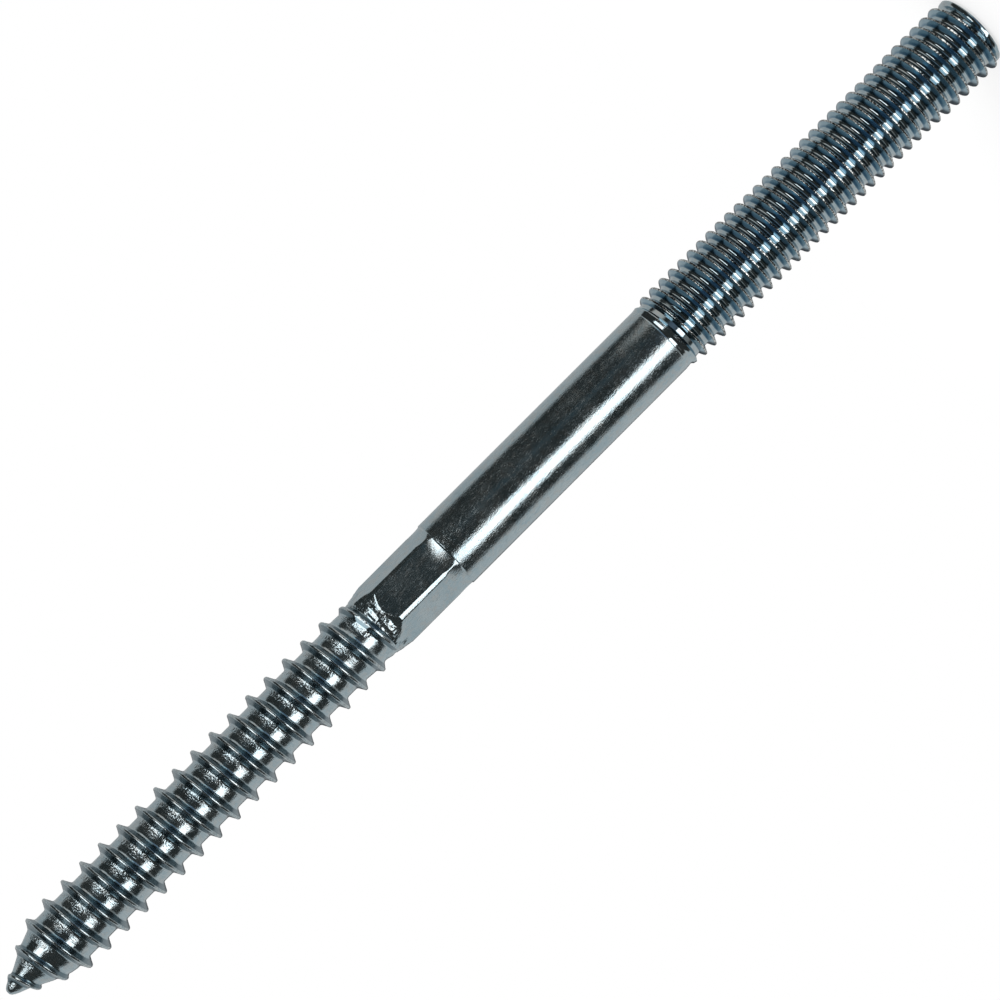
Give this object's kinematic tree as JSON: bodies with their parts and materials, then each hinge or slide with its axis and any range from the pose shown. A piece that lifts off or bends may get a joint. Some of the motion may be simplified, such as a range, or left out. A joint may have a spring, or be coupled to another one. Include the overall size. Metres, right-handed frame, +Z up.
{
  "type": "hanger bolt",
  "caption": "Steel hanger bolt: a pointed wood screw thread at one end, a wrench hexagon and plain shank in the middle, a fine machine thread at the other.",
  "frame": {"origin": "on the bolt's axis, in the flat face of the machine end that it stands on", "axes": "+Z up the bolt's axis towards the wood screw point, -Y towards the side seen in the main view, +X across the bolt"},
  "size_m": [0.0098, 0.0096, 0.1513],
  "materials": {
    "zinc_plated_steel": "bright blue-white zinc plating, smooth on the shank, finely scratched and speckled on the wood thread"
  },
  "bodies": {
    "root": {"hanger_bolt": "zinc_plated_steel"}
  },
  "joints": []
}
